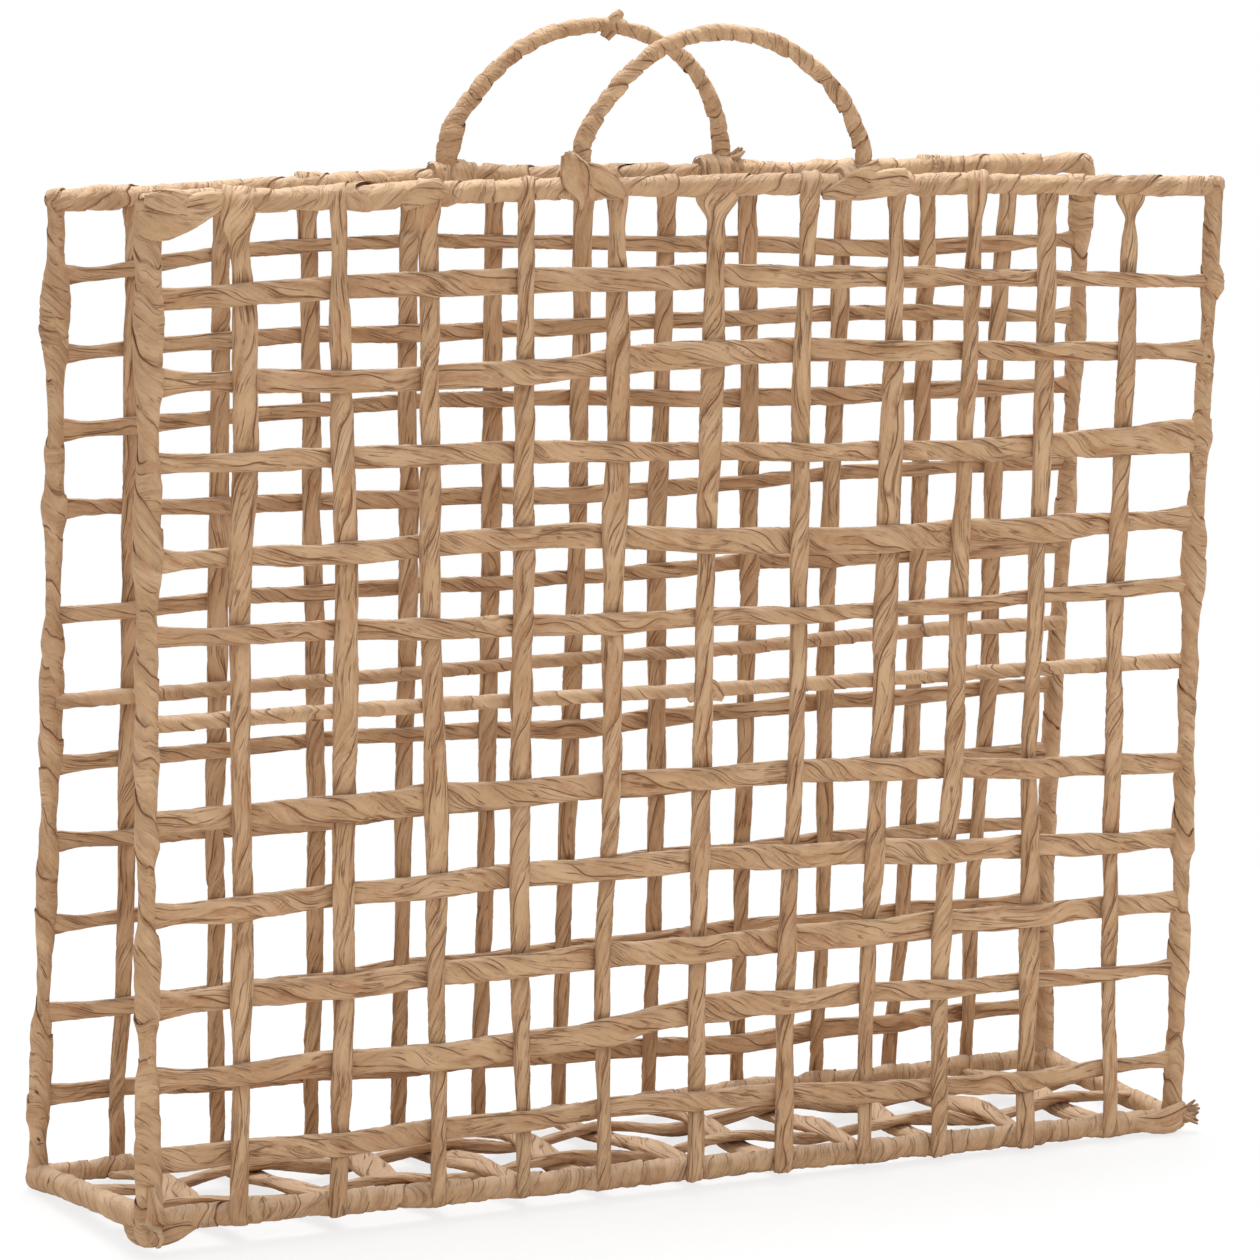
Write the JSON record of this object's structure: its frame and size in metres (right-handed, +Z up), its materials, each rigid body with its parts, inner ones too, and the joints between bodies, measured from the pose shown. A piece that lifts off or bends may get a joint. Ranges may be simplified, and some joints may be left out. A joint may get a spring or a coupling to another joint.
{
  "type": "magazine basket",
  "caption": "Narrow upright magazine basket woven from flattened paper cord on a paper-wrapped wire frame, with open ends and fixed arched handles.",
  "frame": {"origin": "on the ground, under the middle of the basket", "axes": "+X along the panels, +Y from the front panel to the back panel, +Z up"},
  "size_m": [0.4056, 0.0992, 0.3895],
  "materials": {
    "paper_cord": "matte",
    "paper_wrap": "matte",
    "steel_wire": "satin"
  },
  "bodies": {
    "root": {"base_ring_wire": "steel_wire", "front_hoop_wire": "steel_wire", "back_hoop_wire": "steel_wire", "front_bar_wire": "steel_wire", "back_bar_wire": "steel_wire", "front_handle_wire": "steel_wire", "back_handle_wire": "steel_wire", "front_left_post_wrap": "paper_wrap", "front_right_post_wrap": "paper_wrap", "back_left_post_wrap": "paper_wrap", "back_right_post_wrap": "paper_wrap", "front_top_rail_wrap": "paper_wrap", "back_top_rail_wrap": "paper_wrap", "front_bottom_rail_wrap": "paper_wrap", "back_bottom_rail_wrap": "paper_wrap", "left_side_rail_wrap": "paper_wrap", "right_side_rail_wrap": "paper_wrap", "front_bar_wrap": "paper_wrap", "back_bar_wrap": "paper_wrap", "front_handle_wrap": "paper_wrap", "back_handle_wrap": "paper_wrap", "front_handle_left_lashing": "paper_wrap", "front_handle_right_lashing": "paper_wrap", "back_handle_left_lashing": "paper_wrap", "back_handle_right_lashing": "paper_wrap", "front_row_cord_01": "paper_cord", "front_row_cord_02": "paper_cord", "front_row_cord_03": "paper_cord", "front_row_cord_04": "paper_cord", "front_row_cord_05": "paper_cord", "front_row_cord_06": "paper_cord", "front_row_cord_07": "paper_cord", "front_row_cord_08": "paper_cord", "front_row_cord_09": "paper_cord", "front_row_cord_10": "paper_cord", "back_row_cord_01": "paper_cord", "back_row_cord_02": "paper_cord", "back_row_cord_03": "paper_cord", "back_row_cord_04": "paper_cord", "back_row_cord_05": "paper_cord", "back_row_cord_06": "paper_cord", "back_row_cord_07": "paper_cord", "back_row_cord_08": "paper_cord", "back_row_cord_09": "paper_cord", "back_row_cord_10": "paper_cord", "upright_cord_01": "paper_cord", "upright_cord_02": "paper_cord", "upright_cord_03": "paper_cord", "upright_cord_04": "paper_cord", "upright_cord_05": "paper_cord", "upright_cord_06": "paper_cord", "upright_cord_07": "paper_cord", "upright_cord_08": "paper_cord", "upright_cord_09": "paper_cord", "upright_cord_10": "paper_cord", "upright_cord_11": "paper_cord", "floor_cord_01": "paper_cord", "floor_cord_02": "paper_cord"}
  },
  "joints": []
}
